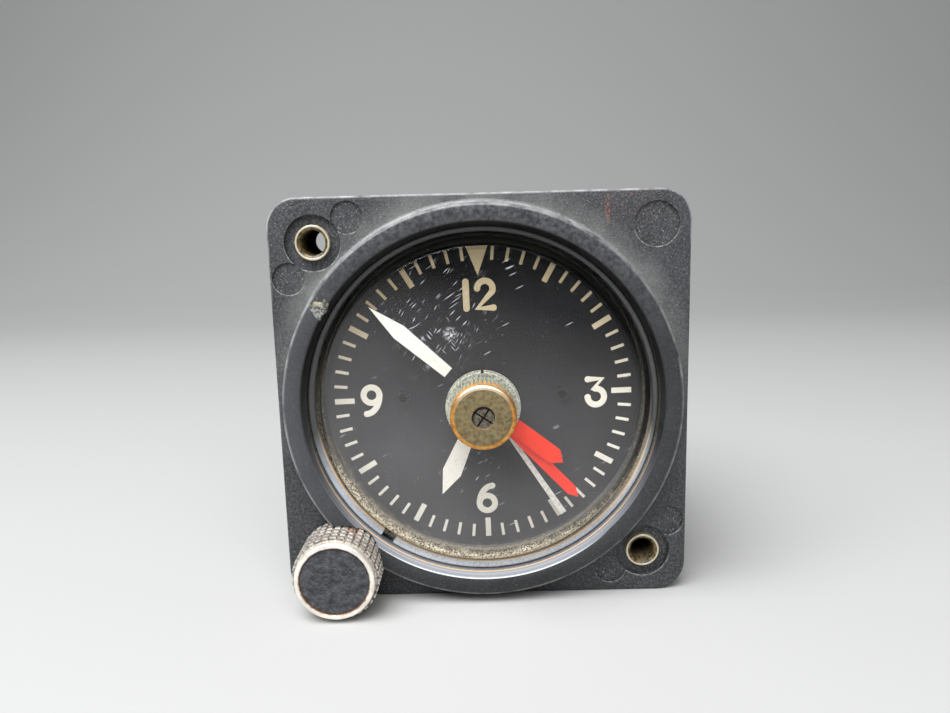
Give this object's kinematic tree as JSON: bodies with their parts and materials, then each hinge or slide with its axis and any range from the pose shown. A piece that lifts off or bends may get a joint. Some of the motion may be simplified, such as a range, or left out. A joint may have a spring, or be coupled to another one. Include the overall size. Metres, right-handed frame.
{
  "type": "aircraft panel clock",
  "caption": "Square-flanged wind-up panel clock with white hands, two red elapsed-time pointers set by a brass centre knob, a knurled winding knob, and a full going train inside.",
  "frame": {"origin": "centre of the screw pattern, on the front face of the flange", "axes": "the dial faces -Y, +X is towards 3 o'clock and +Z towards 12 o'clock"},
  "size_m": [0.06, 0.0457, 0.06],
  "materials": {
    "phenolic": "black moulded phenolic, dusty, edges worn grey",
    "dial_black": "matt black dial with printed pale marks",
    "brass": "lacquered brass, slightly dull",
    "tarnished_brass": "tarnished green-brown brass, orange where worn",
    "bushing_metal": "grey-green plated brass",
    "steel": "bright steel",
    "blued_steel": "blued spring steel",
    "ring_black": "blackened spring wire with worn cream edges",
    "knob_metal": "knurled aluminium, dirt in the knurl",
    "cap_black": "black inset disc",
    "rusty_steel": "rust-brown grub screw",
    "hand_white": "off-white lume paint",
    "pointer_red": "red-orange paint",
    "seal_rubber": "black rubber",
    "crystal_glass": "scratched clear acrylic"
  },
  "bodies": {
    "case_body": {"case": "phenolic", "rear_can": "phenolic", "rear_can_screws": "steel", "threaded_inserts": "brass", "stem_bushing": "brass", "crystal": "crystal_glass", "crystal_gasket": "seal_rubber", "retaining_ring": "ring_black", "crystal_bushing": "bushing_metal", "bushing_nut": "brass", "dial": "dial_black", "dial_screws": "dial_black", "front_plate": "brass", "back_plate": "brass", "pillars": "brass", "pillar_screws": "steel", "movement_screws": "steel", "click_spring": "steel", "click_spring_screw": "steel", "escapement_bridge": "brass", "bridge_screws": "steel", "hairspring": "blued_steel", "balance_cock": "brass", "cock_screw": "steel"},
    "second_arbor": {"second_hand": "hand_white", "fourth_wheel": "brass"},
    "centre_arbor": {"centre_wheel": "brass", "cannon_pinion": "steel", "minute_hand": "hand_white"},
    "hour_pipe": {"hour_wheel": "brass", "hour_hand": "hand_white"},
    "minute_gear": {"minute_wheel": "brass"},
    "setting_gear": {"setting_wheel": "brass"},
    "third_arbor": {"third_wheel": "brass"},
    "intermediate_arbor": {"intermediate_wheel": "brass"},
    "barrel_drum": {"barrel": "brass", "barrel_cover": "brass", "mainspring": "blued_steel"},
    "escape_arbor": {"escape_wheel": "steel"},
    "lever": {"pallet_lever": "steel"},
    "balance": {"balance_wheel": "brass"},
    "stem_slide": {"shift_yoke": "steel"},
    "stem": {"winding_stem": "steel", "winding_knob": "knob_metal", "knob_cap": "cap_black", "knob_set_screw": "rusty_steel"},
    "winding_gear": {"winding_wheel": "brass"},
    "winding_arbor": {"barrel_arbor": "steel", "ratchet_wheel": "steel"},
    "click_lever": {"click": "steel"},
    "pointer_drive": {"pointer_knob": "tarnished_brass", "pointer_knob_screw": "steel", "red_minute_pointer": "pointer_red"},
    "planet_gear": {"pointer_planet": "brass"},
    "hour_sleeve": {"pointer_sleeve": "steel", "red_hour_pointer": "pointer_red"}
  },
  "joints": [
    {"name": "seconds", "type": "hinge", "parent": "case_body", "child": "second_arbor", "pos_m": [0, 0, 0], "axis": [0, 1, 0], "continuous": true},
    {"name": "centre_turn", "type": "hinge", "parent": "case_body", "child": "centre_arbor", "pos_m": [0, 0, 0], "axis": [0, 1, 0], "continuous": true},
    {"name": "hour_turn", "type": "hinge", "parent": "case_body", "child": "hour_pipe", "pos_m": [0, 0, 0], "axis": [0, 1, 0], "continuous": true},
    {"name": "minute_wheel_turn", "type": "hinge", "parent": "case_body", "child": "minute_gear", "pos_m": [-0.00177, 0, -0.0078], "axis": [0, 1, 0], "continuous": true},
    {"name": "setting_wheel_turn", "type": "hinge", "parent": "case_body", "child": "setting_gear", "pos_m": [-0.01404, 0, -0.01534], "axis": [0, 1, 0], "continuous": true},
    {"name": "third_turn", "type": "hinge", "parent": "case_body", "child": "third_arbor", "pos_m": [-0.00851, 0, 0.0015], "axis": [0, 1, 0], "continuous": true},
    {"name": "intermediate_turn", "type": "hinge", "parent": "case_body", "child": "intermediate_arbor", "pos_m": [0.00827, 0, -0.00285], "axis": [0, 1, 0], "continuous": true},
    {"name": "barrel_turn", "type": "hinge", "parent": "case_body", "child": "barrel_drum", "pos_m": [0.00006, 0, -0.0124], "axis": [0, 1, 0], "continuous": true},
    {"name": "escape_turn", "type": "hinge", "parent": "case_body", "child": "escape_arbor", "pos_m": [0.00222, 0, 0.00829], "axis": [0, 1, 0], "continuous": true},
    {"name": "lever_rock", "type": "hinge", "parent": "case_body", "child": "lever", "pos_m": [0.00345, 0, 0.01288], "axis": [0, 1, 0], "range_deg": [-1.5, 1.5]},
    {"name": "balance_swing", "type": "hinge", "parent": "case_body", "child": "balance", "pos_m": [0.00428, 0, 0.01597], "axis": [0, 1, 0], "range_deg": [-220, 220], "stiffness_Nm_per_rad": 0.0000011},
    {"name": "knob_pull", "type": "slide", "parent": "case_body", "child": "stem_slide", "axis": [0, -1, 0], "range_m": [0, 0.0022]},
    {"name": "knob_turn", "type": "hinge", "parent": "stem_slide", "child": "stem", "pos_m": [-0.0216, 0, -0.0236], "axis": [0, 1, 0], "continuous": true},
    {"name": "winding_wheel_turn", "type": "hinge", "parent": "case_body", "child": "winding_gear", "pos_m": [-0.01404, 0, -0.01534], "axis": [0, 1, 0], "continuous": true},
    {"name": "ratchet_turn", "type": "hinge", "parent": "case_body", "child": "winding_arbor", "pos_m": [0.00006, 0, -0.0124], "axis": [0, 1, 0], "continuous": true},
    {"name": "click_lift", "type": "hinge", "parent": "case_body", "child": "click_lever", "pos_m": [0.00908, 0, -0.00912], "axis": [0, 1, 0], "range_deg": [0, 6], "stiffness_Nm_per_rad": 0.00002},
    {"name": "pointer_knob_turn", "type": "hinge", "parent": "case_body", "child": "pointer_drive", "pos_m": [0, 0, 0], "axis": [0, 1, 0], "continuous": true},
    {"name": "planet_turn", "type": "hinge", "parent": "pointer_drive", "child": "planet_gear", "pos_m": [0, 0, 0.0026], "axis": [0, 1, 0], "continuous": true},
    {"name": "hour_pointer_turn", "type": "hinge", "parent": "case_body", "child": "hour_sleeve", "pos_m": [0, 0, 0], "axis": [0, 1, 0], "continuous": true}
  ],
  "couplings": [
    {"joint": "centre_turn", "follows": "seconds", "ratio": 0.016667},
    {"joint": "hour_turn", "follows": "seconds", "ratio": 0.0013889},
    {"joint": "minute_wheel_turn", "follows": "seconds", "ratio": -0.0055556},
    {"joint": "setting_wheel_turn", "follows": "seconds", "ratio": 0.0039683},
    {"joint": "third_turn", "follows": "seconds", "ratio": -0.13333},
    {"joint": "intermediate_turn", "follows": "seconds", "ratio": -0.0027778},
    {"joint": "barrel_turn", "follows": "seconds", "ratio": 0.00046296},
    {"joint": "escape_turn", "follows": "seconds", "ratio": -10},
    {"joint": "winding_wheel_turn", "follows": "knob_turn", "ratio": -0.33333},
    {"joint": "ratchet_turn", "follows": "knob_turn", "ratio": 0.46667},
    {"joint": "planet_turn", "follows": "pointer_knob_turn", "ratio": 1.8333},
    {"joint": "hour_pointer_turn", "follows": "pointer_knob_turn", "ratio": 0.083333}
  ]
}
